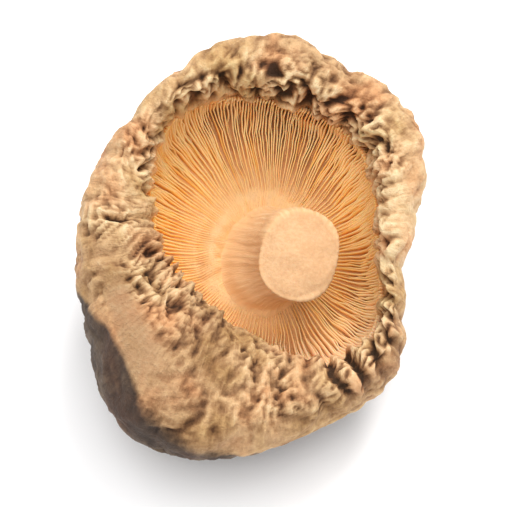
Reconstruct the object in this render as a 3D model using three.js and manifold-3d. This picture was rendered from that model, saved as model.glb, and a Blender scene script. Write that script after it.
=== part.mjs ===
// A whole dried shiitake mushroom, lying on the crown of its cap with the gills up.
//
// The fruiting body grew as one piece, so it is one solid: a domed cap whose dried rim has rolled
// inwards, radial gills round the inside of the bowl, and the stub of the stem, cut short and leaning.
//
// The cap is first made upright on its own axis: the crown at the origin, the stem pointing to +Z,
// angles counted from +X towards +Y. It is then tipped the way it rests, the little facet it lies on is
// cut flat, and the origin goes to the middle of its footprint, on the surface. Units are millimetres.
import * as THREE from "three";
import { mergeVertices } from "three/addons/utils/BufferGeometryUtils.js";
import Module from "manifold-3d";

// Driving dimensions
const capRadius = 21; // mean radius at the widest ring
const capOval = 0.16; // how much longer than that the cap is one way, and shorter the other
const capOvalTurn = 72; // degrees from +X to its long way
const capDepth = 21; // from the crown to the crest of the rolled rim
const stemRadius = 4.95;
const stemLength = 12.6; // from its root, sunk in the flesh, to the cut
const gillCount = 60; // coarse stand-ins for the real, much finer gills
const gillHeight = 1.9;

// How it rests
const tipForward = 13; // degrees that the mouth leans towards -Y
const tipSideways = 6; // degrees that it leans towards +X
const facetDepth = 0.7; // how much of the dome is flattened where it lies

// Mesh fineness: two columns for each gill, and this many rings from crown to stem
const columns = 2 * gillCount;
const rings = 34;
const stemColumns = 36;
const stemRings = 12;

// The cap's section. Each row: radius as a share of capRadius, height as a share of capDepth,
// how much of the outline's lobes it takes, and how much of the mouth's swells.
const capSection = [
  [0.0, 0.0, 0.0, 0.0], // crown
  [0.27, 0.03, 0.3, 0.0],
  [0.54, 0.12, 0.6, 0.0],
  [0.78, 0.28, 0.85, 0.0],
  [0.94, 0.49, 1.0, 0.0],
  [1.0, 0.7, 1.0, 0.0], // widest ring
  [0.98, 0.87, 1.0, 0.0],
  [0.91, 0.98, 1.0, 0.15], // shoulder of the roll
  [0.82, 1.0, 0.7, 0.45], // crest of the roll
  [0.73, 0.93, 0.4, 0.8],
  [0.685, 0.8, 0.2, 1.0], // lip, where the skin ends
  [0.7, 0.68, 0.3, 0.9],
  [0.66, 0.58, 0.3, 0.6],
  [0.54, 0.5, 0.2, 0.2],
  [0.4, 0.45, 0.0, 0.0],
  [0.26, 0.43, 0.0, 0.0], // gills end round the stem
  [0.13, 0.43, 0.0, 0.0],
  [0.0, 0.43, 0.0, 0.0],
];
const crestRow = 8;
const lipRow = 10;
const gillsFrom = 11.2; // rows of the section between which the gills stand
const gillsTo = 15.2;

// Swells and dents round the rim. Each row: angle in degrees, size, and half width in degrees.
// The outline swells by a share of its radius, and the mouth and the crest by millimetres.
const outlineLobes = [
  [38, 0.13, 18],
  [62, -0.02, 6],
  [82, 0.06, 18],
  [152, 0.04, 18],
  [220, -0.1, 15],
  [250, 0.06, 18],
  [323, 0.17, 17],
];
const mouthSwells = [
  [52, 1.3, 18],
  [118, 1.8, 20],
  [178, -3.2, 28],
  [242, -5.4, 30],
  [312, 3.4, 22],
];
const crestRises = [
  [36, 1.1, 16],
  [58, -1.0, 8],
  [92, 0.7, 20],
  [148, -0.8, 18],
  [225, 1.0, 26],
  [300, -0.9, 22],
  [345, -0.5, 14],
];

// Broad dents in the dome. Each row: angle and depth in millimetres, half width in degrees,
// row of the section, and half length in rows.
const domeDents = [
  [60, 0.9, 11, 4.4, 2.0],
  [345, 0.7, 14, 3.4, 1.8],
  [196, 0.9, 16, 4.0, 1.8],
  [120, 0.8, 20, 3.0, 1.6],
  [262, 0.6, 12, 4.4, 1.8],
];

// The cap grew askew, so its crown and its mouth sit to either side of the widest ring's centre.
const crownShift = [-1.4, 1.6];
const mouthShift = [0.8, 1.8];

// The stem's section, from its root up: radius as a share of stemRadius, height as a share of stemLength.
const stemRoot = 5.8; // height of the root above the crown
const stemSection = [
  [0.0, 0.0],
  [1.25, 0.0],
  [1.36, 0.22], // flare into the gills
  [1.12, 0.36],
  [1.0, 0.55],
  [0.97, 0.78],
  [0.98, 0.93],
  [0.84, 1.0], // worn edge of the cut
  [0.45, 1.03],
  [0.0, 1.04],
];
const stemBase = [2.6, 1.8]; // where the stem leaves the cap
const stemTip = [6.2, -1.6]; // where its cut end is
const stemOval = 1.26; // its long axis over its short one
const stemOvalTurn = 72; // degrees from +X to the long axis

const radians = THREE.MathUtils.degToRad;

// A Catmull-Rom curve through rows of numbers, at a place counted in rows.
function along(rows, place) {
  const last = rows.length - 1;
  const at = Math.min(Math.max(place, 0), last);
  const i = Math.min(Math.floor(at), last - 1);
  const f = at - i;
  const row = (k) => rows[Math.min(Math.max(i + k, 0), last)];
  return rows[0].map((_, c) => {
    const [a, b, d, e] = [row(-1)[c], row(0)[c], row(1)[c], row(2)[c]];
    return b + 0.5 * f * (d - a + f * (2 * a - 5 * b + 4 * d - e + f * (3 * (b - d) + e - a)));
  });
}

// The sum of rounded bumps round a circle, at an angle in radians.
function swell(bumps, angle) {
  return bumps.reduce((sum, [degrees, size, width]) => {
    const off = 180 * (THREE.MathUtils.euclideanModulo(angle / Math.PI - degrees / 180 + 1, 2) - 1);
    return sum + size * Math.exp(-0.5 * (off / width) ** 2);
  }, 0);
}

// How far the section's middle is from the widest ring's centre, at a place in the section.
function askew(place, heightShare) {
  if (place < crestRow) return crownShift.map((shift) => shift * (1 - heightShare) ** 2);
  return mouthShift.map((shift) => shift * THREE.MathUtils.smoothstep(place, crestRow, lipRow));
}

// A point of the cap at an angle and a place in its section.
function capPoint(angle, place) {
  const [radiusShare, heightShare, lobeShare, mouthShare] = along(capSection, place);
  const lobes = capOval * Math.cos(2 * (angle - radians(capOvalTurn))) + swell(outlineLobes, angle);
  const dent = domeDents.reduce(
    (sum, [degrees, depth, width, row, length]) =>
      sum + swell([[degrees, depth, width]], angle) * Math.exp(-0.5 * ((place - row) / length) ** 2),
    0,
  );
  const outer = capRadius * radiusShare * (1 + lobeShare * lobes) - dent;
  const radius = Math.max(outer + mouthShare * swell(mouthSwells, angle), 0);
  const rise = swell(crestRises, angle) * THREE.MathUtils.smoothstep(heightShare, 0.5, 1);
  const [x, y] = askew(place, heightShare);
  return new THREE.Vector3(
    radius * Math.cos(angle) + x,
    radius * Math.sin(angle) + y,
    capDepth * heightShare + rise,
  );
}

// How deep the groove beside a gill is at a place in the section.
function grooveDepth(place) {
  const along01 = (place - gillsFrom) / (gillsTo - gillsFrom);
  return along01 <= 0 || along01 >= 1 ? 0 : gillHeight * Math.min(1, 5 * along01, 3 * (1 - along01));
}

// Moves a lathe's vertices to the points that place(column, row) gives.
function reshape(lathe, profileCount, segments, place) {
  const position = lathe.getAttribute("position");
  for (let i = 0; i < position.count; i++) {
    const column = Math.floor(i / profileCount) % segments;
    const point = place(column, i % profileCount);
    position.setXYZ(i, point.x, point.y, point.z);
  }
  lathe.deleteAttribute("normal");
  lathe.deleteAttribute("uv");
  return mergeVertices(lathe, 1e-3);
}

function capGeometry() {
  const places = Array.from({ length: rings }, (_, i) => (i * (capSection.length - 1)) / (rings - 1));
  const profile = places.map((p) => new THREE.Vector2(along(capSection, p)[0] * capRadius, p));
  return reshape(new THREE.LatheGeometry(profile, columns), rings, columns, (column, row) => {
    const angle = (column * 2 * Math.PI) / columns;
    const point = capPoint(angle, places[row]);
    if (column % 2) point.z -= grooveDepth(places[row]);
    return point;
  });
}

function stemGeometry() {
  const lastRow = stemSection.length - 1;
  const places = Array.from({ length: stemRings }, (_, i) => (i * lastRow) / (stemRings - 1));
  const profile = places.map((p) => new THREE.Vector2(along(stemSection, p)[0], p));
  const turn = radians(stemOvalTurn);
  return reshape(new THREE.LatheGeometry(profile, stemColumns), stemRings, stemColumns, (column, row) => {
    const [radiusShare, heightShare] = along(stemSection, places[row]);
    const angle = (column * 2 * Math.PI) / stemColumns - turn;
    const long = stemRadius * radiusShare * Math.sqrt(stemOval) * Math.cos(angle);
    const short = (stemRadius * radiusShare * Math.sin(angle)) / Math.sqrt(stemOval);
    const lean = Math.max(heightShare, 0) ** 1.3;
    return new THREE.Vector3(
      long * Math.cos(turn) - short * Math.sin(turn) + THREE.MathUtils.lerp(stemBase[0], stemTip[0], lean),
      long * Math.sin(turn) + short * Math.cos(turn) + THREE.MathUtils.lerp(stemBase[1], stemTip[1], lean),
      stemRoot + stemLength * heightShare,
    );
  });
}

// manifold-3d joins and cuts closed meshes.
const wasm = await Module();
wasm.setup();

function solidOf(geometry) {
  return new wasm.Manifold(
    new wasm.Mesh({
      numProp: 3,
      vertProperties: new Float32Array(geometry.getAttribute("position").array),
      triVerts: new Uint32Array(geometry.index.array),
    }),
  );
}

function geometryOf(solid) {
  const { vertProperties, triVerts } = solid.getMesh();
  return new THREE.BufferGeometry()
    .setAttribute("position", new THREE.BufferAttribute(new Float32Array(vertProperties), 3))
    .setIndex(new THREE.BufferAttribute(new Uint32Array(triVerts), 1));
}

// Everything below the surface that the mushroom lies on, as a block to cut the resting facet with.
function surfaceBlock(top) {
  const side = 4 * capRadius;
  const block = new THREE.BoxGeometry(side, side, side).translate(0, 0, top - side / 2);
  block.deleteAttribute("normal");
  block.deleteAttribute("uv");
  return mergeVertices(block, 1e-3);
}

function mushroomGeometry() {
  const resting = new THREE.Matrix4()
    .makeRotationY(radians(tipSideways))
    .multiply(new THREE.Matrix4().makeRotationX(radians(tipForward)));
  const cap = capGeometry().applyMatrix4(resting);
  const stem = stemGeometry().applyMatrix4(resting);
  cap.computeBoundingBox();
  const surface = cap.boundingBox.min.z + facetDepth;
  const whole = solidOf(cap).add(solidOf(stem)).subtract(solidOf(surfaceBlock(surface)));
  const geometry = geometryOf(whole);
  geometry.computeBoundingBox();
  const centre = geometry.boundingBox.getCenter(new THREE.Vector3());
  geometry.translate(-centre.x, -centre.y, -surface);
  geometry.computeVertexNormals();
  return geometry;
}

const mushroom = new THREE.Mesh(
  mushroomGeometry(),
  new THREE.MeshStandardMaterial({ color: 0x9c7554, roughness: 0.8, metalness: 0 }),
);
mushroom.name = "dried_shiitake";

const part = new THREE.Group();
part.add(mushroom);

export default part;
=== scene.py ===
"""A whole dried shiitake mushroom, lying on the crown of its cap with the gills up.

The fruiting body is one solid in the frame. Three pieces give it its finish, and all of them stand for
that solid: the cap with its rolled rim, the gills that line the bowl, and the stub of the stem.

Shapes are made in millimetres on the cap's own axis, with the crown at the origin and the stem pointing
to +Z. They are then tipped the way the mushroom lies, as the solid is, and turned into metres.
"""

import math
from functools import partial

import bpy
import numpy as np
from mathutils import Matrix, Vector


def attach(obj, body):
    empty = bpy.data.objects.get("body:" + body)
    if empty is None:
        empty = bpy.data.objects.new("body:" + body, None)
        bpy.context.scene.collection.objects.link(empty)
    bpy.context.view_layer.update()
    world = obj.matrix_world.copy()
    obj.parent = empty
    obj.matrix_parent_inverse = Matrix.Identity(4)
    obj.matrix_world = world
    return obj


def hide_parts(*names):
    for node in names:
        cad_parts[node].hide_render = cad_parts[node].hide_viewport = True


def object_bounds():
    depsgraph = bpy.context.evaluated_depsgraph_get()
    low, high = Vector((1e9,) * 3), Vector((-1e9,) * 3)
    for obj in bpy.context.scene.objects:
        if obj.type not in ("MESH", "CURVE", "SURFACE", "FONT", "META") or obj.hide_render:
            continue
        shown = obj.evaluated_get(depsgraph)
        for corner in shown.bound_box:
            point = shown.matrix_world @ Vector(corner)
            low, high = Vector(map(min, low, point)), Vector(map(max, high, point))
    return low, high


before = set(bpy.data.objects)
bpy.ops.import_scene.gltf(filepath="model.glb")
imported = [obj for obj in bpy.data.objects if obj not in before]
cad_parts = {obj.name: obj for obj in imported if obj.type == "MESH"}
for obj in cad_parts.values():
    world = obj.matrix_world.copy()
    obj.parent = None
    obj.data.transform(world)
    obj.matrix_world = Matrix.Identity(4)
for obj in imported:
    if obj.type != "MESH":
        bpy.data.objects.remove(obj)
cad_low, cad_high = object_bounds()

MM = 0.001

# The solid's own dimensions, in millimetres and degrees
CAP_RADIUS = 21.0
CAP_OVAL = 0.16
CAP_OVAL_TURN = 72
CAP_DEPTH = 21.0
STEM_RADIUS = 4.95
STEM_LENGTH = 12.6
STEM_ROOT = 5.8
TIP_FORWARD = 13
TIP_SIDEWAYS = 6
FACET_DEPTH = 0.7

# The cap's section: radius and height as shares of the cap's, share of the outline's lobes, share of
# the mouth's swells.
CAP_SECTION = np.array([
    [0.0, 0.0, 0.0, 0.0],  # crown
    [0.27, 0.03, 0.3, 0.0],
    [0.54, 0.12, 0.6, 0.0],
    [0.78, 0.28, 0.85, 0.0],
    [0.94, 0.49, 1.0, 0.0],
    [1.0, 0.7, 1.0, 0.0],  # widest ring
    [0.98, 0.87, 1.0, 0.0],
    [0.91, 0.98, 1.0, 0.15],  # shoulder of the roll
    [0.82, 1.0, 0.7, 0.45],  # crest of the roll
    [0.73, 0.93, 0.4, 0.8],
    [0.685, 0.8, 0.2, 1.0],  # lip, where the skin ends
    [0.7, 0.68, 0.3, 0.9],
    [0.66, 0.58, 0.3, 0.6],
    [0.54, 0.5, 0.2, 0.2],
    [0.4, 0.45, 0.0, 0.0],
    [0.26, 0.43, 0.0, 0.0],  # gills end round the stem
    [0.13, 0.43, 0.0, 0.0],
    [0.0, 0.43, 0.0, 0.0],
])
CREST_ROW = 8
LIP_ROW = 10
GILL_ROWS = (10.45, 16.3)  # from behind the lip to the stem
GILL_HEIGHT = 1.15
GILL_CLIMB = (0.0, 0.1)  # shares of a gill's length over which it grows to its full height
GILL_FALL = (0.2, 0.7)  # and over which it sinks again towards the stem
GILL_LEAST = 0.1  # what is left of its height there
BED_ROW = 11.6  # where the gills hide the cap's own surface
BED_DRAWN = (11.5, 14.5)  # rows between which the bed closes in on the stem
LAST_ROW = len(CAP_SECTION) - 1
SOLID_COLUMNS = 120
SOLID_RINGS = 34

# Bumps round a circle: angle in degrees, size, half width in degrees
OUTLINE_LOBES = [
    (38, 0.13, 18),
    (62, -0.02, 6),
    (82, 0.06, 18),
    (152, 0.04, 18),
    (220, -0.1, 15),
    (250, 0.06, 18),
    (323, 0.17, 17),
]
MOUTH_SWELLS = [(52, 1.3, 18), (118, 1.8, 20), (178, -3.2, 28), (242, -5.4, 30), (312, 3.4, 22)]
CREST_RISES = [
    (36, 1.1, 16),
    (58, -1.0, 8),
    (92, 0.7, 20),
    (148, -0.8, 18),
    (225, 1.0, 26),
    (300, -0.9, 22),
    (345, -0.5, 14),
]
# The same, with the row of the section and half length in rows
DOME_DENTS = [
    (60, 0.9, 11, 4.4, 2.0),
    (345, 0.7, 14, 3.4, 1.8),
    (196, 0.9, 16, 4.0, 1.8),
    (120, 0.8, 20, 3.0, 1.6),
    (262, 0.6, 12, 4.4, 1.8),
]
CROWN_SHIFT = np.array([-1.4, 1.6])
MOUTH_SHIFT = np.array([0.8, 1.8])

STEM_SECTION = np.array([
    [0.0, 0.0],
    [1.25, 0.0],
    [1.36, 0.22],  # flare into the gills
    [1.12, 0.36],
    [1.0, 0.55],
    [0.97, 0.78],
    [0.98, 0.93],
    [0.84, 1.0],  # worn edge of the cut
    [0.45, 1.03],
    [0.0, 1.04],
])
STEM_BASE = np.array([2.6, 1.8])
STEM_TIP = np.array([6.2, -1.6])
STEM_OVAL = 1.26
STEM_OVAL_TURN = 72
STEM_FOOT = 5.9  # its radius where it meets the gills
COLLAR_RISE = 0.9  # how far the bed is drawn up against the stem
COLLAR_WIDTH = 1.3
PALE_WIDTH = 3.2  # how far the pale felt of the stem runs out over the gills


# ---------------------------------------------------------------- shape of the solid

def along(rows, place):
    """A Catmull-Rom curve through rows of numbers, at places counted in rows."""
    last = len(rows) - 1
    at = np.clip(place, 0, last)
    i = np.minimum(np.floor(at).astype(int), last - 1)
    f = (at - i)[..., None]
    a, b, d, e = (rows[np.clip(i + k, 0, last)] for k in (-1, 0, 1, 2))
    return b + 0.5 * f * (d - a + f * (2 * a - 5 * b + 4 * d - e + f * (3 * (b - d) + e - a)))


def swell(bumps, angle):
    """The sum of rounded bumps round a circle, at angles in radians."""
    total = np.zeros_like(angle)
    for centre, size, width in bumps:
        off = (np.degrees(angle) - centre + 180) % 360 - 180
        total += size * np.exp(-0.5 * (off / width) ** 2)
    return total


def smoothstep(value, low, high):
    """0 below low, 1 above high, and a smooth rise between them."""
    t = np.clip((value - low) / (high - low), 0, 1)
    return t * t * (3 - 2 * t)


def between(value, starts, full, full_ends, ends):
    """1 from full to where full ends, 0 outside, and a smooth rise and fall on either side."""
    return smoothstep(value, starts, full) * (1 - smoothstep(value, full_ends, ends))


def cap_points(angle, place):
    """Points of the smooth cap at angles and places in its section.

    The bed of the bowl is the solid's, but its rows close in on the stem, as the gills do.
    """
    radius_share, height_share, lobe_share, mouth_share = np.moveaxis(along(CAP_SECTION, place), -1, 0)
    lobes = CAP_OVAL * np.cos(2 * (angle - math.radians(CAP_OVAL_TURN))) + swell(OUTLINE_LOBES, angle)
    dent = sum(
        swell([(centre, depth, width)], angle) * np.exp(-0.5 * ((place - row) / length) ** 2)
        for centre, depth, width, row, length in DOME_DENTS
    )
    outer = CAP_RADIUS * radius_share * (1 + lobe_share * lobes) - dent
    radius = np.maximum(outer + mouth_share * swell(MOUTH_SWELLS, angle), 0)
    rise = swell(CREST_RISES, angle) * smoothstep(height_share, 0.5, 1)
    on_dome = (place < CREST_ROW)[..., None]
    askew = np.where(
        on_dome,
        CROWN_SHIFT * ((1 - height_share) ** 2)[..., None],
        MOUTH_SHIFT * smoothstep(place, CREST_ROW, LIP_ROW)[..., None],
    )
    askew = askew + (STEM_BASE - MOUTH_SHIFT) * smoothstep(place, *BED_DRAWN)[..., None]
    return np.stack([
        radius * np.cos(angle) + askew[..., 0],
        radius * np.sin(angle) + askew[..., 1],
        CAP_DEPTH * height_share + rise,
    ], axis=-1)


def stem_points(angle, place):
    """Points of the smooth stem, from its root at place 0 to the middle of the cut."""
    radius_share, height_share = np.moveaxis(along(STEM_SECTION, place), -1, 0)
    turn = math.radians(STEM_OVAL_TURN)
    long_way = STEM_RADIUS * radius_share * math.sqrt(STEM_OVAL) * np.cos(angle - turn)
    short_way = STEM_RADIUS * radius_share / math.sqrt(STEM_OVAL) * np.sin(angle - turn)
    lean = np.maximum(height_share, 0)[..., None] ** 1.3
    middle = STEM_BASE + (STEM_TIP - STEM_BASE) * lean
    return np.stack([
        long_way * math.cos(turn) - short_way * math.sin(turn) + middle[..., 0],
        long_way * math.sin(turn) + short_way * math.cos(turn) + middle[..., 1],
        STEM_ROOT + STEM_LENGTH * height_share,
    ], axis=-1)


def normals_of(shape, angle, place):
    """Outward unit normals of a smooth shape, from small steps along its two directions."""
    step = 1e-3
    around = shape(angle + step, place) - shape(angle - step, place)
    along_section = shape(angle, place + step) - shape(angle, place - step)
    normal = np.cross(around, along_section)
    return normal / np.maximum(np.linalg.norm(normal, axis=-1, keepdims=True), 1e-12)


def ring_of(shape, count, place):
    """One ring of a smooth shape: its angles, its places, its points and their outward normals."""
    angle = np.arange(count) * 2 * math.pi / count
    places = np.full(count, place)
    if count == 1:
        down_or_up = -1.0 if place < 1 else 1.0
        return angle, places, shape(angle, places), np.array([[0.0, 0.0, down_or_up]])
    return angle, places, shape(angle, places), normals_of(shape, angle, places)


def off_stem(points):
    """How far points on the bed of the bowl are from the foot of the stem."""
    turn = math.radians(STEM_OVAL_TURN)
    x, y = points[..., 0] - STEM_BASE[0], points[..., 1] - STEM_BASE[1]
    long_way = (x * math.cos(turn) + y * math.sin(turn)) / math.sqrt(STEM_OVAL)
    short_way = (y * math.cos(turn) - x * math.sin(turn)) * math.sqrt(STEM_OVAL)
    return np.maximum(np.hypot(long_way, short_way) - STEM_FOOT, 0)


def with_collar(points):
    """The bed drawn up a little where it meets the stem."""
    drawn = points.copy()
    drawn[..., 2] += COLLAR_RISE * np.exp(-((off_stem(points) / COLLAR_WIDTH) ** 2))
    return drawn


TIPPED = np.array(
    Matrix.Rotation(math.radians(TIP_SIDEWAYS), 3, "Y") @ Matrix.Rotation(math.radians(TIP_FORWARD), 3, "X")
)


def resting_shift():
    """What takes the tipped cap to its place: its box over the frame's box, its facet on the surface."""
    angles = np.arange(SOLID_COLUMNS) * 2 * math.pi / SOLID_COLUMNS
    angle, place = np.meshgrid(angles, np.linspace(0, LAST_ROW, SOLID_RINGS), indexing="ij")
    tipped = (cap_points(angle, place) @ TIPPED.T).reshape(-1, 3)
    surface = tipped[:, 2].min() + FACET_DEPTH
    middle = (tipped.min(0) + tipped.max(0)) / 2
    box_middle = (cad_low + cad_high) / 2 / MM
    return np.array([box_middle.x - middle[0], box_middle.y - middle[1], -surface])


SHIFT = resting_shift()


def laid(points):
    """Points on the cap's own axis, taken to where the mushroom lies, in metres, none under the surface."""
    placed = points @ TIPPED.T + SHIFT
    placed[..., 2] = np.maximum(placed[..., 2], 0)
    return placed * MM


# ---------------------------------------------------------------- folds and noise

def fold_map(size, cells, wavelength, run=0.0, fullness=0.3, width=0.5, passes=6, seed=0):
    """The folds of a skin that shrank, as a map that repeats: 0 in the creases, 1 on the ridges.

    Seeded noise goes again and again through a band round one wavelength and a soft limit, much as
    buckling skin settles. With run above 0 the ridges run along the first axis. Two folds that press
    together leave a narrow crease between broad ridges, which the square root gives.
    """
    k_first = np.fft.fftfreq(cells[0], size[0] / cells[0])[:, None]
    k_second = np.fft.rfftfreq(cells[1], size[1] / cells[1])[None, :]
    k = np.hypot(k_first, k_second) * wavelength
    one_way = np.exp(-run * (k_first * wavelength / np.maximum(k, 1e-6)) ** 2)
    band = np.exp(-(((k - 1) / width) ** 2)) * one_way
    field = np.random.default_rng(seed).standard_normal(cells)
    for _ in range(passes):
        field = np.fft.irfft2(np.fft.rfft2(field) * band, cells)
        field = np.tanh(1.5 * field / field.std() + fullness)
    soft = np.fft.irfft2(np.fft.rfft2(field) * np.exp(-((k / 2.4) ** 2)), cells)
    return np.sqrt(np.clip((1 + soft) / 2, 0, 1))


def read_map(field, size, first, second):
    """A repeating map's values at places given in its own millimetres."""
    at = [first / size[0] * field.shape[0], second / size[1] * field.shape[1]]
    low = [np.floor(a).astype(int) for a in at]
    f, g = at[0] - low[0], at[1] - low[1]
    i, j = low[0] % field.shape[0], low[1] % field.shape[1]
    i2, j2 = (i + 1) % field.shape[0], (j + 1) % field.shape[1]
    near = field[i, j] * (1 - f) + field[i2, j] * f
    far = field[i, j2] * (1 - f) + field[i2, j2] * f
    return near * (1 - g) + far * g


def soft_noise(points, feature, seed):
    """Smooth seeded noise in space, from -1 to 1, with features of a size in millimetres."""
    side = 32
    lattice = np.random.default_rng(seed).uniform(-1, 1, (side, side, side))
    at = points / feature
    low = np.floor(at).astype(int)
    f = at - low
    f = f * f * (3 - 2 * f)
    total = 0.0
    for corner in np.ndindex(2, 2, 2):
        weight = np.prod([f[..., c] if corner[c] else 1 - f[..., c] for c in range(3)], axis=0)
        total = total + weight * lattice[tuple((low[..., c] + corner[c]) % side for c in range(3))]
    return total


# ---------------------------------------------------------------- meshes

def faces_between(first, n, second, m):
    """Faces from a ring of n points to the next of m points, given each ring's first vertex."""

    def a(j):
        return int(first + j % n)

    def b(j):
        return int(second + j % m)

    if n == 1:
        return [(a(0), b(j + 1), b(j)) for j in range(m)]
    if m == 1:
        return [(a(j), a(j + 1), b(0)) for j in range(n)]
    if n == m:
        return [(a(j), a(j + 1), b(j + 1), b(j)) for j in range(n)]
    faces = []
    if m == 2 * n:
        for j in range(n):
            faces += [(a(j), b(2 * j + 1), b(2 * j)), (a(j), a(j + 1), b(2 * j + 1))]
            faces.append((a(j + 1), b(2 * j + 2), b(2 * j + 1)))
    else:
        for j in range(m):
            faces += [(a(2 * j), a(2 * j + 1), b(j)), (a(2 * j + 1), b(j + 1), b(j))]
            faces.append((a(2 * j + 1), a(2 * j + 2), b(j + 1)))
    return faces


def ring_mesh(name, rings):
    """A closed mesh over rings of points, from pole to pole.

    Each ring is a dict of "points" and of values for the layers. A ring has as many points as the one
    before it, half or twice as many, or one at a pole.
    """
    counts = [len(ring["points"]) for ring in rings]
    starts = np.concatenate([[0], np.cumsum(counts)])
    faces = []
    for r in range(len(rings) - 1):
        faces += faces_between(starts[r], counts[r], starts[r + 1], counts[r + 1])
    mesh = bpy.data.meshes.new(name)
    mesh.from_pydata(laid(np.concatenate([ring["points"] for ring in rings])).tolist(), [], faces)
    for layer in rings[0]:
        if layer == "points":
            continue
        values = np.concatenate([ring[layer] for ring in rings])
        kind, field = ("FLOAT_VECTOR", "vector") if values.ndim == 2 else ("FLOAT", "value")
        mesh.attributes.new(layer, kind, "POINT").data.foreach_set(field, values.astype(np.float32).ravel())
    mesh.shade_smooth()
    return mesh


def piece(mesh, material=None):
    """An object for a finished mesh."""
    if material:
        mesh.materials.append(material)
    made = bpy.data.objects.new(mesh.name, mesh)
    bpy.context.scene.collection.objects.link(made)
    return made


def fixed_to_solid(made):
    """A piece rides on the only body, and the solid that it stands for is hidden."""
    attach(made, "root")
    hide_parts("dried_shiitake")


# ---------------------------------------------------------------- the cap

RIM_MAP = (44.0, 108.0)  # the chart of the rim: millimetres along the section, and round the cap
RIM_CELLS = (416, 1024)
RIM_FOLDS = [  # wavelength in millimetres, how much the ridges run one way, width of the band, seed
    (5.0, 0.3, 0.5, 3),  # broad folds
    (2.2, 3.0, 0.5, 5),  # pleats
    (2.3, 0.3, 0.9, 7),  # crumples
    (1.1, 0.1, 0.9, 9),  # wrinkles
]
DOME_MAP = (84.0, 84.0)  # the chart of the dome, flat, with the crown in the middle
DOME_CELLS = (768, 768)
DOME_FOLDS = [(5.6, 11), (2.3, 13), (1.0, 17)]  # folds, creases and lines: wavelength and seed

# How far apart the cap's rings are, in millimetres
DOME_SPACING = 0.38
RIM_SPACING = 0.235
HIDDEN_SPACING = 0.5
WIDEST_ROW = 5

# How many columns a ring has. It has half as many where they would stand closer than these gaps
MOST_COLUMNS = 600
MOST_HIDDEN_COLUMNS = 150
LEAST_COLUMNS = 75
LEAST_GAP = 0.2615
LEAST_HIDDEN_GAP = 0.323

# Where the folds and colours differ round the cap: angle in degrees, size, half width in degrees
RIM_DEPTHS = [  # shares by which folds are deeper than most, or shallower
    (74, 0.7, 36),
    (50, 0.3, 16),
    (315, 0.95, 19),
    (165, 0.2, 30),
    (262, -0.48, 22),
]
FOLDS_REACH = [(175, 1.4, 28), (298, 1.2, 26), (254, 1.3, 13)]  # rows that they reach further out
STRAIGHT_PLEATS = [(315, 1.3, 20), (150, 0.4, 26), (20, 0.3, 20)]  # where they run straight to the lip
SOFT_LIP = [(165, 0.5, 26)]  # where the rim passes into the gills with no edge
SHADED_LIP = [(68, 0.95, 30), (300, 0.6, 34)]  # where painted shade darkens the flesh under the rolled lip
SMOOTH_PATCH = [(221, 1.7, 15)]  # where the skin of the roll stayed smooth
SMOOTH_PATCH_ROWS = (6.8, 7.2, 7.8, 8.3)  # where it starts, is full, is no longer full, and ends
SKIN_LINE = 4.7  # row where the felted rim gives way to the bare skin
SKIN_LINE_RISES = [(230, 2.3, 21), (262, 0.5, 12), (85, 1.3, 36)]
RIM_SIDE_SHADE = [  # where the rim's ridges are painted darker as shade; a size below 0 paints them lighter
    (72, 0.13, 32),
    (8, -0.08, 20),
    (185, 0.06, 24),
    (204, 0.1, 12),
    (262, 0.1, 24),
    (249, 0.14, 11),
    (315, 0.19, 20),
]

# Rows between which one kind of relief gives way to the next
DOME_PLEAT_ROWS = (2.4, 5.0)
RIM_ROWS = (4.6, 6.4)
DEEP_FOLD_ROWS = (7.3, 8.7)
FLESH_ROWS = (9.8, 10.9)  # skin gives way to the flesh that carries the gills
FELT_ROWS = (11.5, 12.5)  # and that to the stem's felt

# How high the folds stand, in millimetres
CRUMPLE_HEIGHT = 1.1
WRINKLE_HEIGHT = 0.5
BROAD_HEIGHT = 0.9
DEEPEST_FOLD = 1.0  # the soft limit of crumples and wrinkles together
DOME_FOLD_HEIGHT = 0.8
DOME_PLEAT_HEIGHT = 0.5
DOME_CREASE_HEIGHT = 0.45
DOME_LINE_HEIGHT = 0.1
SWELL_HEIGHT = 0.4

GRAIN_RADIUS = 17.0  # millimetres, where the grain of the skin's fibrils is wound round the axis
FINE_PLACES = np.linspace(0, LAST_ROW, 1200)
CHART_DEGREES = np.arange(0, 361, 2)
CHART_STEPS = 500


def section_length(places):
    """Millimetres along the mean section from the crown to each place."""
    rows = along(CAP_SECTION, FINE_PLACES)
    steps = np.hypot(np.diff(rows[:, 0]) * CAP_RADIUS, np.diff(rows[:, 1]) * CAP_DEPTH)
    return np.interp(places, FINE_PLACES, np.concatenate([[0], np.cumsum(steps)]))


def chart_lengths():
    """Millimetres along the section from the crown, by degrees round the cap and fine steps of its rows."""
    places = np.linspace(0, LAST_ROW, CHART_STEPS)
    angle, place = np.meshgrid(np.radians(CHART_DEGREES), places, indexing="ij")
    steps = np.linalg.norm(np.diff(cap_points(angle, place), axis=1), axis=-1)
    return np.concatenate([np.zeros((len(angle), 1)), np.cumsum(steps, axis=1)], axis=1)


CHART_LENGTHS = chart_lengths()


def length_at(angle, place):
    """Millimetres along the section from the crown to one place, at angles round the cap."""
    column = min(place / LAST_ROW, 0.9999) * (CHART_STEPS - 1)
    low, share = int(column), column % 1
    lengths = CHART_LENGTHS[:, low] * (1 - share) + CHART_LENGTHS[:, low + 1] * share
    return np.interp(np.degrees(angle), CHART_DEGREES, lengths)


def gill_depth(places):
    """How far the bed between the gills lies under their edges."""
    share = (places - GILL_ROWS[0]) / (GILL_ROWS[1] - GILL_ROWS[0])
    fall = 1 - (1 - GILL_LEAST) * smoothstep(share, *GILL_FALL)
    return GILL_HEIGHT * smoothstep(share, *GILL_CLIMB) * fall


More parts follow.
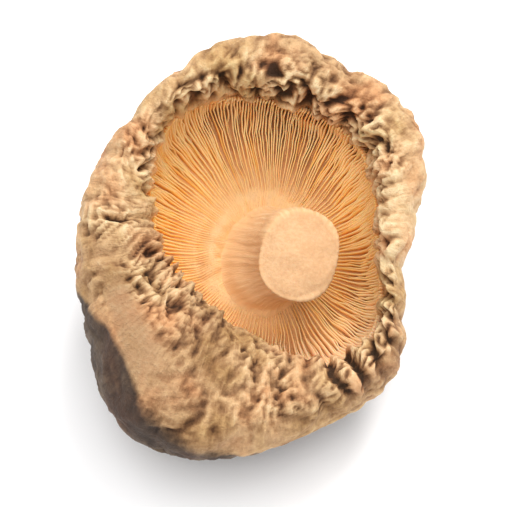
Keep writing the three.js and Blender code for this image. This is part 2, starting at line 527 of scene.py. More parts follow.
def columns_at(place, before):
    """How many points the ring at a place has: fewer where it is narrow or hidden, and at most twice or
    at least half as many as the ring before it.
    """
    if place in (0, LAST_ROW):
        return 1
    hidden = place > BED_ROW
    round_it = 2 * math.pi * CAP_RADIUS * along(CAP_SECTION, np.array(place))[0]
    count = MOST_COLUMNS
    while count > LEAST_COLUMNS and round_it / count < (LEAST_HIDDEN_GAP if hidden else LEAST_GAP):
        count //= 2
    if hidden:
        count = min(count, MOST_HIDDEN_COLUMNS)
    return count if before == 1 else min(max(count, before // 2), before * 2)


def wrinkled_cap():
    """The cap's rings: the smooth cap with the folds of its dried skin."""
    widest, bed, end = (float(section_length(row)) for row in (WIDEST_ROW, BED_ROW, LAST_ROW))
    lengths = np.concatenate([
        np.arange(0, widest, DOME_SPACING),
        np.arange(widest, bed, RIM_SPACING),
        np.arange(bed, end, HIDDEN_SPACING),
        [end],
    ])
    places = np.interp(lengths, section_length(FINE_PLACES), FINE_PLACES)
    rim_maps = [
        fold_map(RIM_MAP, RIM_CELLS, wavelength, run=run, width=width, seed=seed)
        for wavelength, run, width, seed in RIM_FOLDS
    ]
    dome_maps = [fold_map(DOME_MAP, DOME_CELLS, wavelength, seed=seed) for wavelength, seed in DOME_FOLDS]
    rings = []
    count = 1
    for length, place in zip(lengths, places):
        count = columns_at(place, count)
        rings.append(cap_ring(length, place, count, rim_maps, dome_maps))
    return rings


def wound_grain(radius, angle, along_it):
    """Millimetres on an even cylinder, for a grain that follows the surface."""
    return np.stack([radius * np.cos(angle), radius * np.sin(angle), along_it], axis=-1)


def folds_met(angle, place, length, smooth, rim_maps, dome_maps):
    """What a ring meets: how far straight pleats stand for crumples, the rim's folds, and the dome's.

    The maps are read along lines that wander, but less so where the pleats run straight.
    """
    straight = np.clip(swell(STRAIGHT_PLEATS, angle) + 0.35 * soft_noise(smooth, 6.0, 37), 0, 1)
    drift_round, drift_down = (
        1.2 * soft_noise(smooth, 4.0, seed) + 0.3 * soft_noise(smooth, 1.7, seed + 1) for seed in (21, 23)
    )
    round_cap = angle / (2 * math.pi) * RIM_MAP[1] + drift_round * (1 - 0.6 * straight)
    down_section = length_at(angle, place) + drift_down
    rim_folds = [read_map(m, RIM_MAP, down_section, round_cap) for m in rim_maps]
    flat_x = length * np.cos(angle) + 1.4 * drift_round
    flat_y = length * np.sin(angle) + 1.4 * drift_down
    return straight, rim_folds, [read_map(m, DOME_MAP, flat_x, flat_y) for m in dome_maps]


def cap_ring(length, place, count, rim_maps, dome_maps):
    """One ring of the cap, with its folds and the values that its colours read."""
    angle, places, smooth, normal = ring_of(cap_points, count, place)
    straight, rim_folds, dome_folds = folds_met(angle, place, length, smooth, rim_maps, dome_maps)
    broad, pleat, crumple, wrinkle = rim_folds
    in_patch = np.minimum(swell(SMOOTH_PATCH, angle), 1)
    patch = in_patch * between(places, *SMOOTH_PATCH_ROWS)
    below_lip = smoothstep(places, LIP_ROW + 0.2, BED_ROW)
    rim_fold = straight * pleat + (1 - straight) * crumple * (0.75 + 0.25 * pleat)
    share = (1 - 0.85 * patch) * (1 - 0.85 * below_lip)
    rim_height, rim_ridge = rim_relief(angle, places, smooth, rim_fold, wrinkle, share)
    rim_height += BROAD_HEIGHT * (broad - 0.75) * (1 - below_lip) * (1 - 0.7 * patch)
    dome_height, dome_ridge = dome_relief(places, pleat, *dome_folds)
    rim = smoothstep(places, *RIM_ROWS)
    height = rim * rim_height + (1 - rim) * dome_height
    height += SWELL_HEIGHT * soft_noise(smooth, 7.0, 31) * (1 - below_lip) - gill_depth(places)
    if place > BED_ROW:
        smooth = with_collar(smooth)

    # the felt ends in a soft line, which is crisper at the smooth patch
    felt_line = SKIN_LINE + swell(SKIN_LINE_RISES, angle)
    blurred = 1.1 - 0.65 * in_patch
    return {
        "points": smooth + normal * height[:, None],
        # painted shade in the creases, beside the pale felt left on the rim's ridges
        "tone_and_crease_shade": (rim * rim_ridge + (1 - rim) * dome_ridge) * (1 - patch) + 0.74 * patch,
        "rim": smoothstep(places, felt_line - blurred, felt_line + blurred),
        "patch": patch,
        # painted shade: how far the flesh under the rolled lip is darkened
        "brown": swell(SHADED_LIP, angle),
        "inner": smoothstep(places + swell(SOFT_LIP, angle), *FLESH_ROWS),
        "pale": np.exp(-((off_stem(smooth) / PALE_WIDTH) ** 2)) * smoothstep(places, *FELT_ROWS),
        "grain": wound_grain(GRAIN_RADIUS, angle, np.full(count, length)),
    }


def rim_relief(angle, places, smooth, fold, wrinkle, share):
    """How far the rim's folds stand out, and how pale its ridges are, with painted shade in its creases."""
    facing_up = smoothstep(places + swell(FOLDS_REACH, angle), *DEEP_FOLD_ROWS)
    vigour = 1 + swell(RIM_DEPTHS, angle)
    uneven = np.clip(1 + 1.1 * soft_noise(smooth, 3.4, 35), 0.25, 1.7)
    uneven = np.maximum(uneven, np.minimum(vigour - 0.8, 1))
    relief = CRUMPLE_HEIGHT * (fold - 0.75) + WRINKLE_HEIGHT * (wrinkle - 0.8) * (0.5 + 0.5 * fold)
    height = vigour * share * uneven * (0.3 + 0.7 * facing_up) * relief
    # painted shade: the creases darker than the ridges, more so where the folds are deep
    paleness = 0.1 + 0.5 * smoothstep(fold, 0.2, 0.85) + 0.35 * smoothstep(wrinkle, 0.3, 0.95)
    contrast = vigour * np.minimum(uneven, 1.15) * (0.25 + 0.75 * facing_up)
    # painted shade: the ridges darkened round the sides listed above
    tone_and_crease_shade = 0.78 + (paleness - 0.78) * contrast - swell(RIM_SIDE_SHADE, angle)
    return DEEPEST_FOLD * np.tanh(height / DEEPEST_FOLD), tone_and_crease_shade


def dome_relief(places, pleat, fold, crease, line):
    """How far the dome's folds stand out, and how pale its ridges are, with painted shade in its creases.
    """
    pleated = smoothstep(places, *DOME_PLEAT_ROWS)
    height = (
        DOME_FOLD_HEIGHT * (fold - 0.8) * (1 - 0.5 * pleated)
        + DOME_PLEAT_HEIGHT * pleated * (pleat - 0.8)
        + DOME_CREASE_HEIGHT * (crease - 0.8) * (0.4 + 0.6 * fold)
        + DOME_LINE_HEIGHT * (line - 0.8)
    )
    return height, 0.45 * fold + 0.35 * crease + 0.2 * line


# ---------------------------------------------------------------- the stem

STEM_MAP = (26.0, 30.0)  # millimetres along the stem, and round it
STEM_CELLS = (256, 288)
STEM_COLUMNS = 240
SIDE_RINGS = 60
CUT_RINGS = 22
CUT_ROWS = (6.4, 7.0)  # rows between which the side gives way to the cut
SQUARED = 0.3  # how far its corners stand out near the cut, where it is nearly square
SQUARED_ROWS = (3.0, 6.0, 7.2, 8.4)
DRAWN_IN = [(222, 1.8, 34)]  # where the stem is drawn in under its cut
DRAWN_IN_ROWS = (3.4, 5.4, 5.8, 6.8)
FURROW_DEPTH = 0.16
FURROWS_END = (4.8, 6.4)
FIBRE_DEPTH = 0.06


def fibrous_stem():
    """The stem's rings: drawn-in furrows and fibres along it, and a rough cut."""
    furrows = fold_map(STEM_MAP, STEM_CELLS, 3.2, run=7.0, width=0.7, passes=3, seed=41)
    fibres = fold_map(STEM_MAP, STEM_CELLS, 0.8, run=14.0, width=0.7, passes=4, seed=43)
    last = len(STEM_SECTION) - 1
    side_places = np.linspace(0.6, 6.6, SIDE_RINGS)
    cut_places = np.linspace(6.7, 8.9, CUT_RINGS)
    return [
        stem_ring(place, 1 if place in (0, last) else STEM_COLUMNS, furrows, fibres)
        for place in np.concatenate([[0], side_places, cut_places, [last]])
    ]


def stem_ring(place, count, furrows, fibres):
    """One ring of the stem, with its fibres and the values that its colours read."""
    angle, places, smooth, normal = ring_of(stem_points, count, place)
    up = np.full(count, STEM_LENGTH * along(STEM_SECTION, np.array(place))[1])
    round_stem = angle / (2 * math.pi) * STEM_MAP[1] + 0.5 * soft_noise(smooth, 7.0, 51)
    furrow, fibre = (read_map(m, STEM_MAP, up, round_stem) for m in (furrows, fibres))

    cut = smoothstep(places, *CUT_ROWS)
    furrowed = 1 - smoothstep(places, *FURROWS_END)
    side_height = FURROW_DEPTH * (furrow - 0.8) * furrowed + FIBRE_DEPTH * (fibre - 0.8)
    side_height -= swell(DRAWN_IN, angle) * between(places, *DRAWN_IN_ROWS)
    off_long_way = angle - math.radians(STEM_OVAL_TURN)
    corners = 0.5 * (1 - np.cos(4 * off_long_way)) + 0.6 * np.cos(off_long_way) ** 2
    side_height += SQUARED * corners * between(places, *SQUARED_ROWS)
    cut_height = 0.22 * soft_noise(smooth, 1.9, 53) + 0.05 * soft_noise(smooth, 0.6, 54)
    height = (1 - cut) * side_height + cut * cut_height + 0.45 * soft_noise(smooth, 4.5, 55)
    return {
        "points": smooth + normal * height[:, None],
        # painted shade: the furrows darker than their ridges; the fibres and the cut are the stem's own
        # tone
        "tone_and_crease_shade": (1 - cut) * (0.45 + 0.12 * furrow + 0.35 * fibre) + 0.85 * cut,
        "cut": cut,
        "low": 1 - smoothstep(up, 0.3 * STEM_LENGTH, 0.7 * STEM_LENGTH),
        "grain": wound_grain(STEM_RADIUS, angle, up),
    }


# ---------------------------------------------------------------- nodes

MATH, VECTOR_MATH, RANGE = "ShaderNodeMath", "ShaderNodeVectorMath", "ShaderNodeMapRange"
MIX, NOISE, RAMP = "ShaderNodeMix", "ShaderNodeTexNoise", "ShaderNodeValToRGB"
SPLIT, JOIN = "ShaderNodeSeparateXYZ", "ShaderNodeCombineXYZ"
LAYER, BUMP, STRETCH = "ShaderNodeAttribute", "ShaderNodeBump", "ShaderNodeMapping"
STORE, NAMED = "GeometryNodeStoreNamedAttribute", "GeometryNodeInputNamedAttribute"


def add(tree, kind, values=(), out=0, stops=(), **settings):
    """Adds a node with its settings, gives its inputs values or links, and returns an output.

    Values are a dict by the inputs' names or a row in the inputs' order. Stops are (place, colour).
    """
    made = tree.nodes.new(kind)
    for name, value in settings.items():
        setattr(made, name, value)
    inputs = [socket for socket in made.inputs if socket.enabled]
    by_name = {socket.name: socket for socket in reversed(inputs)}
    for key, value in values.items() if isinstance(values, dict) else enumerate(values):
        socket = by_name[key] if isinstance(key, str) else inputs[key]
        if isinstance(value, bpy.types.NodeSocket):
            tree.links.new(value, socket)
        else:
            socket.default_value = value
    for i, (place, colour) in enumerate(stops):
        elements = made.color_ramp.elements
        element = elements[i] if i < len(elements) else elements.new(place)
        element.position, element.color = place, linear(colour)
    outputs = [socket for socket in made.outputs if socket.enabled]
    return outputs[out]


def linear(hex_colour):
    """An sRGB hex colour as the linear red, green, blue and alpha that nodes take."""
    channels = [int(hex_colour[i : i + 2], 16) / 255 for i in (1, 3, 5)]
    return tuple(c / 12.92 if c <= 0.04045 else ((c + 0.055) / 1.055) ** 2.4 for c in channels) + (1.0,)


# ---------------------------------------------------------------- the gills

BED_COLUMNS = 360
BED_ROWS = 44
BROWN_GILLS = [(75, 0.5, 50), (275, 2.2, 36)]  # where the gills are browned from the rim inwards
BROWN_REACH = (0.05, 0.65)  # shares of their length over which that fades
BLADE_STEPS = 12


def gill_bed():
    """The inside of the bowl as a sheet with a UV map: u round the cap, v from the rim to the stem.

    Each point says which way a gill stands on it, which way is across the gill, and how pale and how
    brown it is.
    """
    shares, turns = np.linspace(0, 1, BED_ROWS), np.linspace(0, 1, BED_COLUMNS + 1)
    turns, shares = np.meshgrid(turns, shares, indexing="ij")
    angle = turns * 2 * math.pi
    place = GILL_ROWS[0] + (GILL_ROWS[1] - GILL_ROWS[0]) * shares
    points = with_collar(cap_points(angle, place))
    n = BED_ROWS
    corners = [i * n + j for i in range(BED_COLUMNS) for j in range(n - 1)]
    faces = [(c, c + n, c + n + 1, c + 1) for c in corners]
    mesh = bpy.data.meshes.new("gills")
    mesh.from_pydata(laid(points.reshape(-1, 3)).tolist(), [], faces)
    uv = np.stack([turns, shares], axis=-1).reshape(-1, 2)
    loops = np.zeros(len(mesh.loops), np.int32)
    mesh.loops.foreach_get("vertex_index", loops)
    mesh.uv_layers.new(name="bed").data.foreach_set("uv", uv[loops].astype(np.float32).ravel())

    pale = np.exp(-((off_stem(points) / PALE_WIDTH) ** 2))
    brown = np.minimum(swell(BROWN_GILLS, angle) * (1 - smoothstep(shares, *BROWN_REACH)), 1)
    zero = np.zeros_like(angle)
    for name, vectors in (
        ("rise", normals_of(cap_points, angle, place) @ TIPPED.T),
        ("across", np.stack([-np.sin(angle), np.cos(angle), zero], axis=-1) @ TIPPED.T),
        ("tints", np.stack([pale, brown, zero], axis=-1)),
    ):
        layer = mesh.attributes.new(name, "FLOAT_VECTOR", "POINT")
        layer.data.foreach_set("vector", vectors.astype(np.float32).ravel())
    return mesh


def gill_tree(material):
    """Blades round the bowl. Each is a thin box, bent along the bed from the rim towards the stem.

    A long gill reaches the stem and the one beside it ends part of the way. Gills sway together, lean
    together in clumps as drying leaves them, and their edges are crimped.
    """
    tree = bpy.data.node_groups.new("gills_round_the_bowl", "GeometryNodeTree")
    given = gill_inputs(tree)
    node = partial(add, tree)
    blades = separate_blades(tree, given["Gill count"])
    number = node(NAMED, {"Name": "gill"}, data_type="FLOAT")
    local = node(NAMED, {"Name": "blade"}, data_type="FLOAT_VECTOR")
    along_blade, across_blade, up_blade = (node(SPLIT, (local,), out=i) for i in range(3))

    # every second gill is a short one, and its length varies
    short = node(MATH, (number, 2.0), operation="MODULO")
    chance = node("FunctionNodeRandomValue", {"Min": 0.3, "Max": 0.7, "ID": number, "Seed": given["Seed"]})
    reach = node(MIX, {"Factor": short, "A": 1.0, "B": chance}, data_type="FLOAT")
    v = node(MATH, (along_blade, reach), operation="MULTIPLY")
    turn = node(MATH, (number, given["Gill count"]), operation="DIVIDE")
    wander = wander_of_gills(tree, turn, v)
    u = round_the_bed(tree, given, wander, turn, across_blade, up_blade)
    bed = bed_at(tree, given["Geometry"], node(JOIN, {"X": u, "Y": v}))

    # each gill has a tone of its own, near its neighbours'
    pale, brown = (node(SPLIT, (bed["tints"],), out=i) for i in range(2))
    slowly = node(MATH, (number, 0.3), operation="MULTIPLY")
    tone = node(NOISE, {"W": slowly, "Scale": 1.0, "Detail": 2.0}, noise_dimensions="1D")
    tints = node(JOIN, {"X": pale, "Y": brown, "Z": tone})
    blades = node(STORE, {"Geometry": blades, "Name": "tints", "Value": tints}, data_type="FLOAT_VECTOR")

    height = height_above_bed(tree, given, wander, v, short, along_blade, up_blade)
    bent = node(MATH, (node(MATH, (up_blade, 1.6), operation="POWER"), given["Lean"]), operation="MULTIPLY")
    leaning = node(MATH, (wander["lean"], 2.0), operation="MULTIPLY")
    sideways = node(MATH, (leaning, bent), operation="MULTIPLY")
    up = node(VECTOR_MATH, {"Vector": bed["rise"], "Scale": height}, operation="SCALE")
    off = node(VECTOR_MATH, {"Vector": bed["across"], "Scale": sideways}, operation="SCALE")
    target = node(VECTOR_MATH, (bed["position"], up), operation="ADD")
    target = node(VECTOR_MATH, (target, off), operation="ADD")
    blades = node("GeometryNodeSetPosition", {"Geometry": blades, "Position": target})
    blades = node("GeometryNodeSetShadeSmooth", {"Geometry": blades})
    blades = node("GeometryNodeSetMaterial", {"Geometry": blades, "Material": material})
    tree.links.new(blades, tree.nodes.new("NodeGroupOutput").inputs[0])
    return tree


def gill_inputs(tree):
    """The tree's way in and out: the bed, and named sizes in metres, shares and counts."""
    sizes = {
        "Gill count": 300,
        "Gill height": GILL_HEIGHT * MM,
        "Share of spacing": 0.72,
        "Sunk depth": 0.35 * MM,
        "Sway": 0.012,
        "Lean": 0.32 * MM,
        "Crimp": 0.5 * MM,
        "Seed": 9,
    }
    for way in ("INPUT", "OUTPUT"):
        tree.interface.new_socket("Geometry", in_out=way, socket_type="NodeSocketGeometry")
    for name, value in sizes.items():
        kind = "NodeSocketInt" if isinstance(value, int) else "NodeSocketFloat"
        tree.interface.new_socket(name, in_out="INPUT", socket_type=kind).default_value = value
    return tree.nodes.new("NodeGroupInput").outputs


def separate_blades(tree, count):
    """One box for each gill, real and not yet placed.

    "gill" is its number. "blade" keeps each point's place in its box, all from 0 to 1: x along it, y
    across it and z up it. These three ways mirror the box when it is laid on the bed, hence the flip.
    """
    node = partial(add, tree)
    blade = node("GeometryNodeMeshCube", {"Vertices X": BLADE_STEPS + 1, "Vertices Y": 2, "Vertices Z": 2})
    blade = node("GeometryNodeFlipFaces", (blade,))
    own = node(VECTOR_MATH, (node("GeometryNodeInputPosition"), (0.5, 0.5, 0.5)), operation="ADD")
    blade = node(STORE, {"Geometry": blade, "Name": "blade", "Value": own}, data_type="FLOAT_VECTOR")
    points = node("GeometryNodePoints", {"Count": count})
    index = node("GeometryNodeInputIndex")
    points = node(STORE, {"Geometry": points, "Name": "gill", "Value": index}, data_type="FLOAT")
    blades = node("GeometryNodeInstanceOnPoints", {"Points": points, "Instance": blade})
    return node("GeometryNodeRealizeInstances", {"Geometry": blades})


def wander_of_gills(tree, turn, v):
    """Noises round 0 on a circle round the cap, so that they close where the last gill meets the first."""
    node = partial(add, tree)
    around = node(MATH, (turn, 2 * math.pi), operation="MULTIPLY")
    circle = node(JOIN, {
        "X": node(MATH, (around,), operation="COSINE"),
        "Y": node(MATH, (around,), operation="SINE"),
        "Z": node(MATH, (v, 1.2), operation="MULTIPLY"),
    })
    wander = {}
    for name, scale, detail in (
        ("sway", 3.2, 2.0),
        ("tremble", 13.0, 1.0),
        ("lean", 5.5, 2.0),
        ("crimp", 9.0, 2.0),
    ):
        noise = node(NOISE, {"Vector": circle, "Scale": scale, "Detail": detail})
        wander[name] = node(MATH, (noise, 0.5), operation="SUBTRACT")
    return wander


def round_the_bed(tree, given, wander, turn, across_blade, up_blade):
    """A point's u: the turn of its gill, the sway it shares with its neighbours, and its thickness."""
    node = partial(add, tree)
    sway = node(MATH, (wander["tremble"], 0.45, wander["sway"]), operation="MULTIPLY_ADD")
    swayed = node(MATH, (sway, given["Sway"], turn), operation="MULTIPLY_ADD")
    thinner_edge = node(MATH, (up_blade, -0.5, 1.0), operation="MULTIPLY_ADD")
    from_middle = node(MATH, (across_blade, 0.5), operation="SUBTRACT")
    from_middle = node(MATH, (from_middle, thinner_edge), operation="MULTIPLY")
    spacing = node(MATH, (given["Share of spacing"], given["Gill count"]), operation="DIVIDE")
    u = node(MATH, (from_middle, spacing, swayed), operation="MULTIPLY_ADD")
    return node(MATH, (node(MATH, (u, 1.0), operation="ADD"),), operation="FRACT")


def height_above_bed(tree, given, wander, v, short, along_blade, up_blade):
    """How far a point stands above the bed.

    A gill's foot is sunk in the cap, and its edge is level with the lip but for its crimp. The end of a
    short one dips.
    """
    node = partial(add, tree)
    ends = {"From Min": GILL_CLIMB[0], "From Max": GILL_CLIMB[1]}
    climb = node(RANGE, {"Value": v, **ends}, interpolation_type="SMOOTHSTEP")
    ends = {"From Min": GILL_FALL[0], "From Max": GILL_FALL[1], "To Min": 1.0, "To Max": GILL_LEAST}
    fall = node(RANGE, {"Value": v, **ends}, interpolation_type="SMOOTHSTEP")
    full = node(MATH, (climb, fall), operation="MULTIPLY")
    height = node(MATH, (full, given["Gill height"]), operation="MULTIPLY")
    dip = node(RANGE, {"Value": along_blade, "From Min": 0.55}, interpolation_type="SMOOTHSTEP")
    dip = node(MATH, (node(MATH, (dip, short), operation="MULTIPLY"), -1.0), operation="MULTIPLY")
    crimp = node(MATH, (wander["crimp"], given["Crimp"]), operation="MULTIPLY")
    crimp = node(MATH, (crimp, full), operation="MULTIPLY")
    edge = node(MATH, (dip, height, crimp), operation="MULTIPLY_ADD")
    foot = node(MATH, (height, given["Sunk depth"]), operation="ADD")
    foot = node(MATH, (foot, -1.0), operation="MULTIPLY")
    return node(MIX, {"Factor": up_blade, "A": foot, "B": edge}, data_type="FLOAT")


def bed_at(tree, bed, place):
    """The bed's position and layers at a place on its UV map."""
    node = partial(add, tree)
    uv_map = node(NAMED, {"Name": "bed"}, data_type="FLOAT_VECTOR")
    layers = ("rise", "across", "tints")
    read = {name: node(NAMED, {"Name": name}, data_type="FLOAT_VECTOR") for name in layers}
    read["position"] = node("GeometryNodeInputPosition")
    return {
        name: node("GeometryNodeSampleUVSurface", (bed, value, uv_map, place), data_type="FLOAT_VECTOR")
        for name, value in read.items()
    }


def plain_mesh(made):
    """What the object's modifier makes, as a plain mesh, with the modifier gone."""
    evaluated = made.evaluated_get(bpy.context.evaluated_depsgraph_get())
    mesh = bpy.data.meshes.new_from_object(evaluated)
    made.modifiers.clear()
    made.data = mesh
    mesh.name = made.name
    return made


# ---------------------------------------------------------------- materials

LIGHT_REACH = 0.6  # millimetres that light goes into the dried flesh


def per_mm(size):
    """The scale of a noise on Object coordinates whose features are a size in millimetres."""
    return 1 / (size * MM)


def surface(name, roughness, specular, subsurface=0.0):
    """A material with its principled shader, whose even values are on its own sockets."""
    material = bpy.data.materials.new(name)
    material.use_nodes = True
    shader = material.node_tree.nodes["Principled BSDF"]
    shader.inputs["Roughness"].default_value = roughness
    shader.inputs["Specular IOR Level"].default_value = specular
    shader.inputs["Subsurface Weight"].default_value = subsurface
    shader.inputs["Subsurface Radius"].default_value = (1.0, 0.45, 0.18)
    shader.inputs["Subsurface Scale"].default_value = LIGHT_REACH * MM
    return material, material.node_tree, shader


def dried_cap_skin():
    """Dried shiitake cuticle: leathery, taupe on the dome, with pale felted ridges on the rim, and painted
    shade in its creases and under its lip.
    """
    material, tree, shader = surface("dried_cap_skin", roughness=0.62, specular=0.3, subsurface=0.04)
    node = partial(add, tree)
    spot = node("ShaderNodeTexCoord", out=3)
    layers = ("tone_and_crease_shade", "rim", "patch", "brown", "inner", "pale")
    layer = {name: node(LAYER, out=2, attribute_name=name) for name in layers}
    grain = node(LAYER, out=1, attribute_name="grain")
    blotches = node(NOISE, {"Vector": spot, "Scale": per_mm(6.0), "Detail": 3.0})
    mottle = node(NOISE, {"Vector": spot, "Scale": per_mm(1.1), "Detail": 4.0, "Roughness": 0.7})
    specks = node(NOISE, {"Vector": spot, "Scale": per_mm(0.45), "Detail": 2.0})
    fine = node(NOISE, {"Vector": spot, "Scale": per_mm(0.22), "Detail": 3.0})

    # the grain is in millimetres: fibrils 0.4 mm wide, and nearly five times as long
    drawn = node(STRETCH, {"Vector": grain, "Scale": (1.0, 1.0, 0.22)})
    fibrils = node(NOISE, {"Vector": drawn, "Scale": 2.6, "Detail": 4.0, "Roughness": 0.6})

    # ridges paler and creases darker, partly the pale felt left on the rim's ridges and partly painted
    # shade in the creases, with mottling that breaks the rule up
    shade = node(MATH, (mottle, 0.32, layer["tone_and_crease_shade"]), operation="MULTIPLY_ADD")
    shade = node(MATH, (fibrils, 0.3, shade), operation="MULTIPLY_ADD")
    shade = node(MATH, (specks, 0.22, shade), operation="MULTIPLY_ADD")
    shade = node(MATH, (shade, 0.42), operation="SUBTRACT")
    colour = cap_colour(tree, layer, shade, mottle, blotches)
    tree.links.new(colour, shader.inputs["Base Color"])
    rough = node(RANGE, {"Value": shade, "From Min": 0.3, "From Max": 1.0, "To Min": 0.82, "To Max": 0.6})
    tree.links.new(rough, shader.inputs["Roughness"])
    relief = node(MATH, (fibrils, 0.8, mottle), operation="MULTIPLY_ADD")
    relief = node(MATH, (fine, 0.4, relief), operation="MULTIPLY_ADD")
    relief = node(MATH, (specks, 0.6, relief), operation="MULTIPLY_ADD")
    bump = node(BUMP, {"Height": relief, "Distance": 0.25 * MM, "Strength": 1.0})
    tree.links.new(bump, shader.inputs["Normal"])
    return material


def cap_colour(tree, layer, shade, mottle, blotches):
    """Dark bare skin on the dome, pale felt on the rim, and warm flesh behind the lip, with painted shade
    under the lip.
    """
    node = partial(add, tree)
    dome = node(RAMP, (shade,), stops=[
        (0.1, "#1c130e"), (0.4, "#32261e"), (0.65, "#4a3a2f"), (0.85, "#645242"), (1.0, "#82705c"),
    ])
    rim = node(RAMP, (shade,), stops=[
        (0.1, "#38230f"), (0.3, "#614026"), (0.52, "#98724d"), (0.74, "#c9a377"), (1.0, "#ecd2a6"),
    ])
    edge = node(MATH, (shade, 0.35, layer["rim"]), operation="MULTIPLY_ADD")
    felted = node(RANGE, {"Value": edge, "From Min": 0.45}, interpolation_type="SMOOTHSTEP")
    colour = node(MIX, (felted, dome, rim), data_type="RGBA")
    patch = node(MATH, (layer["patch"], 0.55), operation="MULTIPLY")
    colour = node(MIX, (patch, colour, linear("#876244")), data_type="RGBA")
    flesh = node(MIX, (mottle, linear("#dda264"), linear("#f4c58c")), data_type="RGBA")
    # painted shade: the flesh under the rolled lip darkened in patches
    lip_shade = node(MATH, (layer["brown"], mottle), operation="MULTIPLY")
    flesh = node(MIX, (lip_shade, flesh, linear("#7d4c28")), data_type="RGBA")
    flesh = node(MIX, (layer["pale"], flesh, linear("#eebf88")), data_type="RGBA")
    colour = node(MIX, (layer["inner"], colour, flesh), data_type="RGBA")
    tint = node(RAMP, (blotches,), stops=[(0.34, "#e4dcc2"), (0.5, "#ffffff"), (0.66, "#fbdccb")])
    outside = node(MATH, (layer["inner"], -0.8, 0.8), operation="MULTIPLY_ADD")
    return node(MIX, (outside, colour, tint), data_type="RGBA", blend_type="MULTIPLY")


def dried_gills():
    """Dried gills: thin amber blades, paler towards the stem, with painted shade down between them: darker
    at their feet, paler at their edges.
    """
    material, tree, shader = surface("dried_gills", roughness=0.66, specular=0.3, subsurface=0.3)
    node = partial(add, tree)
    spot = node("ShaderNodeTexCoord", out=3)
    local = node(LAYER, out=1, attribute_name="blade")
    tints = node(LAYER, out=1, attribute_name="tints")
    pale, brown, tone = (node(SPLIT, (tints,), out=i) for i in range(3))
    up_blade = node(SPLIT, (local,), out=2)
    clumps = node(NOISE, {"Vector": spot, "Scale": per_mm(2.4), "Detail": 3.0})
    fine = node(NOISE, {"Vector": spot, "Scale": per_mm(0.35), "Detail": 3.0})
    by_clump = node(MATH, (clumps, 0.5), operation="SUBTRACT")
    by_gill = node(MATH, (tone, 0.5), operation="SUBTRACT")
    # painted shade: each blade darker towards its foot and paler at its edge, for the shade down between
    # the gills
    shade = node(MATH, (by_clump, 0.8, up_blade), operation="MULTIPLY_ADD")
    shade = node(MATH, (by_gill, 1.3, shade), operation="MULTIPLY_ADD")
    colour = node(RAMP, (shade,), stops=[
        (0.0, "#e6973a"), (0.35, "#f5aa42"), (0.7, "#fbbd5d"), (1.0, "#ffd591"),
    ])
    brown = node(MATH, (brown, 0.85), operation="MULTIPLY")
    colour = node(MIX, (brown, colour, linear("#ebc9a4")), data_type="RGBA")
    pale = node(MATH, (pale, 0.85), operation="MULTIPLY")
    colour = node(MIX, (pale, colour, linear("#f0c28c")), data_type="RGBA")
    tree.links.new(colour, shader.inputs["Base Color"])
    bump = node(BUMP, {"Height": fine, "Distance": 0.05 * MM, "Strength": 0.6})
    tree.links.new(bump, shader.inputs["Normal"])
    return material


def dried_stem_flesh():
    """Dried stem flesh: pale straw, drawn into fibres along its length, felted and lighter at the cut."""
    material, tree, shader = surface("dried_stem_flesh", roughness=0.75, specular=0.25, subsurface=0.1)
    node = partial(add, tree)
    layer = {name: node(LAYER, out=2, attribute_name=name) for name in ("tone_and_crease_shade", "cut", "low")}
    grain = node(LAYER, out=1, attribute_name="grain")
    spot = node("ShaderNodeTexCoord", out=3)

    # the grain is in millimetres: fibres a quarter of one wide, and six times as long
    drawn = node(STRETCH, {"Vector": grain, "Scale": (1.0, 1.0, 0.16)})
    fibres = node(NOISE, {"Vector": drawn, "Scale": 4.0, "Detail": 4.0, "Roughness": 0.7})
    felt = node(NOISE, {"Vector": spot, "Scale": per_mm(0.4), "Detail": 4.0, "Roughness": 0.7})
    patches = node(NOISE, {"Vector": spot, "Scale": per_mm(3.0), "Detail": 2.0})
    texture = node(MIX, (layer["cut"], fibres, felt), data_type="FLOAT")
    # painted shade in the stem's furrows, with the tone of its fibres and cut
    shade = node(MATH, (texture, 0.7, layer["tone_and_crease_shade"]), operation="MULTIPLY_ADD")
    shade = node(MATH, (patches, 0.4, shade), operation="MULTIPLY_ADD")
    shade = node(MATH, (shade, 0.55), operation="SUBTRACT")
    side = node(RAMP, (shade,), stops=[
        (0.2, "#bd8a58"), (0.5, "#d3a474"), (0.8, "#dfb283"), (1.0, "#e8c295"),
    ])
    end = node(RAMP, (shade,), stops=[
        (0.2, "#b28054"), (0.5, "#bf9064"), (0.8, "#ca9d72"), (1.0, "#d6ad82"),
    ])
    low = node(MATH, (layer["low"], 0.7), operation="MULTIPLY")
    side = node(MIX, (low, side, linear("#eec48f")), data_type="RGBA")
    colour = node(MIX, (layer["cut"], side, end), data_type="RGBA")
    tree.links.new(colour, shader.inputs["Base Color"])
    bump = node(BUMP, {"Height": texture, "Distance": 0.15 * MM, "Strength": 0.8})
    tree.links.new(bump, shader.inputs["Normal"])
    return material


# ---------------------------------------------------------------- the studio

CAMERA_ELEVATION = 58
CAMERA_LENS = 120
VIEW_HEIGHT = 57.0  # millimetres of the picture's height at the mushroom
FLOOR_SIZE = 2.4  # metres


def studio_floor():
    """A plain pale floor."""
    far = FLOOR_SIZE / 2
    mesh = bpy.data.meshes.new("floor")
    mesh.from_pydata([(-far, -far, 0), (far, -far, 0), (far, far, 0), (-far, far, 0)], [], [(0, 1, 2, 3)])
    material, _, shader = surface("matt_white_paper", roughness=0.9, specular=0.1)
    shader.inputs["Base Color"].default_value = linear("#fbfafa")
    made = piece(mesh, material)
    made.location.z = -0.02 * MM  # just clear of the facet, so that the two aren't in one plane


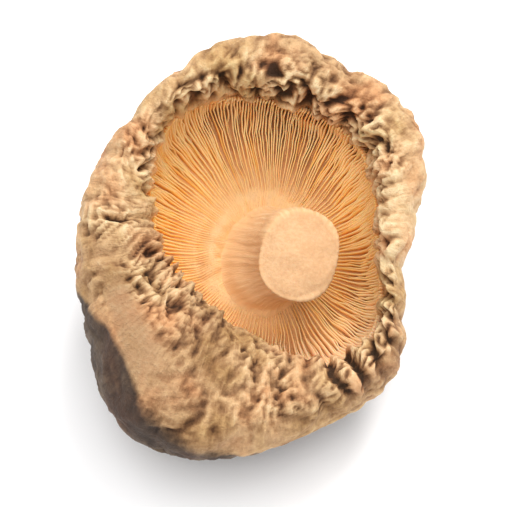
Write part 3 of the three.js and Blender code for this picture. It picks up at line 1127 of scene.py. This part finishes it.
def area_light(name, azimuth, elevation, distance, size, power, colour):
    """A square soft light that shines on the mushroom. Azimuth counts from +X towards +Y."""
    light = bpy.data.lights.new(name, "AREA")
    light.size, light.energy, light.color = size, power, colour
    made = bpy.data.objects.new(name, light)
    turn, tilt = math.radians(azimuth), math.radians(elevation)
    away = Vector((math.cos(turn) * math.cos(tilt), math.sin(turn) * math.cos(tilt), math.sin(tilt)))
    made.location = away * distance + Vector((0, 0, 0.01))
    made.rotation_euler = away.to_track_quat("Z", "Y").to_euler()
    bpy.context.scene.collection.objects.link(made)


def studio():
    """The camera, the lights and the plain surroundings."""
    scene = bpy.context.scene
    studio_floor()
    warm, cool = (1.0, 0.98, 0.96), (0.98, 0.99, 1.0)
    area_light("key", azimuth=64, elevation=54, distance=0.45, size=0.2, power=1.4, colour=warm)
    area_light("overhead", azimuth=250, elevation=77, distance=0.5, size=0.4, power=1.4, colour=cool)
    world = bpy.data.worlds.new("plain_studio")
    world.use_nodes = True
    world.node_tree.nodes["Background"].inputs["Color"].default_value = (1, 1, 1, 1)
    world.node_tree.nodes["Background"].inputs["Strength"].default_value = 0.78
    scene.world = world
    scene.view_settings.view_transform = "Standard"
    camera = bpy.data.cameras.new("camera")
    camera.lens = CAMERA_LENS
    made = bpy.data.objects.new("camera", camera)
    tilt = math.radians(CAMERA_ELEVATION)
    back = Vector((0, -math.cos(tilt), math.sin(tilt)))
    distance = VIEW_HEIGHT * MM / camera.sensor_width * camera.lens
    made.location = (cad_low + cad_high) / 2 + back * distance
    made.rotation_euler = back.to_track_quat("Z", "Y").to_euler()
    camera.clip_start = 0.01
    scene.collection.objects.link(made)
    scene.camera = made


# ---------------------------------------------------------------- putting it together

def make_gills():
    """The gills, from their node tree."""
    made = piece(gill_bed())
    modifier = made.modifiers.new("gills", "NODES")
    modifier.node_group = gill_tree(dried_gills())
    return plain_mesh(made)


studio()
cap = piece(ring_mesh("cap", wrinkled_cap()), dried_cap_skin())
fixed_to_solid(cap)
gills = make_gills()
fixed_to_solid(gills)
stem = piece(ring_mesh("stem", fibrous_stem()), dried_stem_flesh())
fixed_to_solid(stem)
